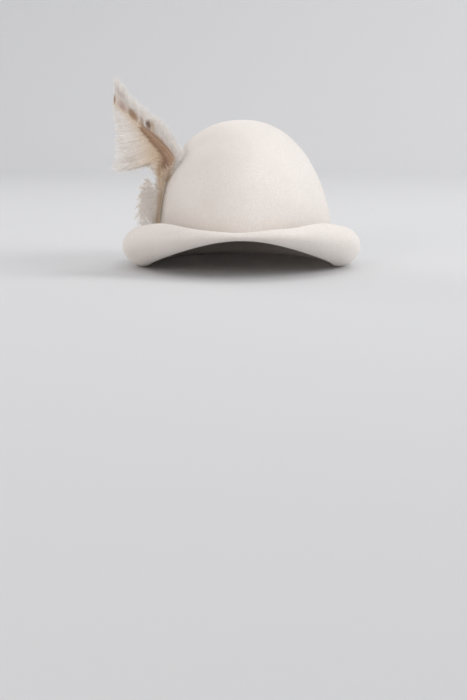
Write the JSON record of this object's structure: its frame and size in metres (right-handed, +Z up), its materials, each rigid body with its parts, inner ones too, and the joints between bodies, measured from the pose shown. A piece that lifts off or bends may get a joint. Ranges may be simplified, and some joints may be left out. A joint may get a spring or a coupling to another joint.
{
  "type": "robin hood hat",
  "caption": "Cream felt hat with a tall dome crown, a brim rolled up all round that arches over the brow, and feathers tucked behind the brim on the wearer's right.",
  "frame": {"origin": "middle of the hat's box in plan, on the plane that the hat rests on", "axes": "+Z up through the crown, -Y the way the wearer looks, -X the wearer's right, where the feathers are"},
  "size_m": [0.203, 0.2268, 0.157],
  "materials": {
    "felt": "soft brushed wool felt",
    "cream_feather": "cream feather with brown spots along the shaft",
    "brown_feather": "brown feather with pale downy edges",
    "down": "soft pale down"
  },
  "bodies": {
    "root": {"felt_body": "felt", "feather_long": "cream_feather", "feather_short": "brown_feather", "feather_down": "down"}
  },
  "joints": []
}
